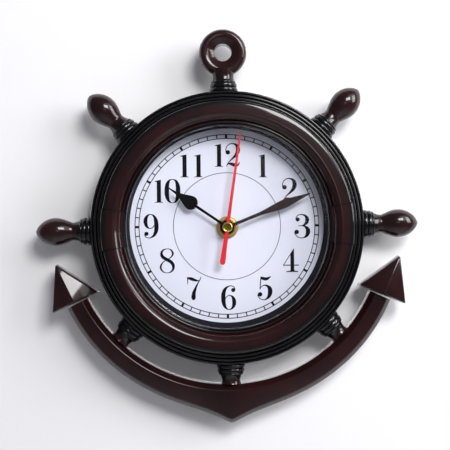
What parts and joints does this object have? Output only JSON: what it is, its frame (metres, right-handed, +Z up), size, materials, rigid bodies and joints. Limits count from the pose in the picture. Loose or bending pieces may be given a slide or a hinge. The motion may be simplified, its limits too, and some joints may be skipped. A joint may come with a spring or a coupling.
{
  "type": "anchor wall clock",
  "caption": "Round quartz wall clock in a ship's wheel and anchor shaped case, with hands, flat lens and keyhole for a wall screw.",
  "frame": {"origin": "top of the keyhole slot in the back cover, on the wall plane, where the wall screw carries the clock", "axes": "+Z up, -Y out of the wall towards the viewer, +X to the viewer's right"},
  "size_m": [0.2332, 0.0402, 0.2403],
  "materials": {
    "mahogany": "dark reddish brown, gloss moulded plastic",
    "black_plastic": "black, fine texture",
    "dial_white": "cool white with black numbers, minute track and thin inner circle",
    "clear": "clear, flat and polished",
    "hand_black": "black paint, satin",
    "hand_red": "red paint, satin",
    "brass": "turned brass",
    "steel": "plain steel",
    "copper": "enamelled copper wire",
    "rubber": "soft black rubber",
    "nylon": "natural moulded plastic",
    "board_green": "green lacquered board",
    "cell_jacket": "plain printed jacket, no lettering"
  },
  "bodies": {
    "case": {"bezel_ring": "mahogany", "left_collar": "mahogany", "right_collar": "mahogany", "hanging_eye": "mahogany", "handle_left": "mahogany", "handle_upper_left": "mahogany", "handle_upper_right": "mahogany", "handle_right": "mahogany", "stub_lower_left": "mahogany", "stub_bottom": "mahogany", "stub_lower_right": "mahogany", "anchor_arms": "mahogany", "fluke_left": "mahogany", "fluke_right": "mahogany", "dial_spacer_ring": "mahogany", "back_cover": "black_plastic", "movement_front_case": "black_plastic", "movement_back_case": "black_plastic", "chip_cap": "black_plastic", "dial": "dial_white", "lens": "clear", "fixing_nut": "brass", "dial_washer": "brass", "threaded_bush": "brass", "rubber_washer": "rubber", "circuit_board": "board_green", "coil_winding": "copper", "coil_bobbin": "nylon", "case_screw_1": "steel", "case_screw_2": "steel", "case_screw_3": "steel", "case_screw_4": "steel", "stator": "steel", "coil_core": "steel", "quartz_crystal": "steel", "battery_contact_positive": "steel", "battery_contact_negative": "steel"},
    "seconds_body": {"seconds_wheel": "nylon", "second_hand": "hand_red", "second_hand_cap": "brass"},
    "rotor_body": {"rotor": "nylon"},
    "fifth_body": {"fifth_wheel": "nylon"},
    "third_body": {"third_wheel": "nylon"},
    "centre_body": {"centre_wheel": "nylon"},
    "minute_body": {"minute_arbor": "nylon", "minute_hand": "hand_black"},
    "hour_body": {"hour_wheel": "nylon", "hour_hand": "hand_black"},
    "minute_wheel_body": {"minute_wheel": "nylon"},
    "knob_body": {"setting_knob": "nylon"},
    "battery_body": {"battery": "cell_jacket"}
  },
  "joints": [
    {"name": "second_turn", "type": "hinge", "parent": "case", "child": "seconds_body", "pos_m": [0, -0.008, -0.075], "axis": [0, 1, 0], "continuous": true},
    {"name": "rotor_turn", "type": "hinge", "parent": "case", "child": "rotor_body", "pos_m": [0.01479, -0.008, -0.06431], "axis": [0, 1, 0], "continuous": true},
    {"name": "fifth_turn", "type": "hinge", "parent": "case", "child": "fifth_body", "pos_m": [0.0097, -0.008, -0.0694], "axis": [0, 1, 0], "continuous": true},
    {"name": "third_turn", "type": "hinge", "parent": "case", "child": "third_body", "pos_m": [-0.00189, -0.008, -0.06428], "axis": [0, 1, 0], "continuous": true},
    {"name": "centre_turn", "type": "hinge", "parent": "case", "child": "centre_body", "pos_m": [0, -0.008, -0.075], "axis": [0, 1, 0], "continuous": true},
    {"name": "minute_turn", "type": "hinge", "parent": "case", "child": "minute_body", "pos_m": [0, -0.008, -0.075], "axis": [0, 1, 0], "continuous": true},
    {"name": "hour_turn", "type": "hinge", "parent": "case", "child": "hour_body", "pos_m": [0, -0.008, -0.075], "axis": [0, 1, 0], "continuous": true},
    {"name": "minute_wheel_turn", "type": "hinge", "parent": "case", "child": "minute_wheel_body", "pos_m": [-0.01008, -0.008, -0.075], "axis": [0, 1, 0], "continuous": true},
    {"name": "knob_turn", "type": "hinge", "parent": "case", "child": "knob_body", "pos_m": [-0.01721, -0.008, -0.06787], "axis": [0, 1, 0], "continuous": true},
    {"name": "battery_out", "type": "slide", "parent": "case", "child": "battery_body", "axis": [0, 1, 0], "range_m": [0, 0.018]}
  ],
  "couplings": [
    {"joint": "fifth_turn", "follows": "second_turn", "ratio": -6},
    {"joint": "rotor_turn", "follows": "second_turn", "ratio": 30},
    {"joint": "third_turn", "follows": "second_turn", "ratio": -0.13333},
    {"joint": "centre_turn", "follows": "second_turn", "ratio": 0.016667},
    {"joint": "minute_wheel_turn", "follows": "minute_turn", "ratio": -0.33333},
    {"joint": "hour_turn", "follows": "minute_turn", "ratio": 0.083333},
    {"joint": "knob_turn", "follows": "minute_turn", "ratio": 1}
  ]
}
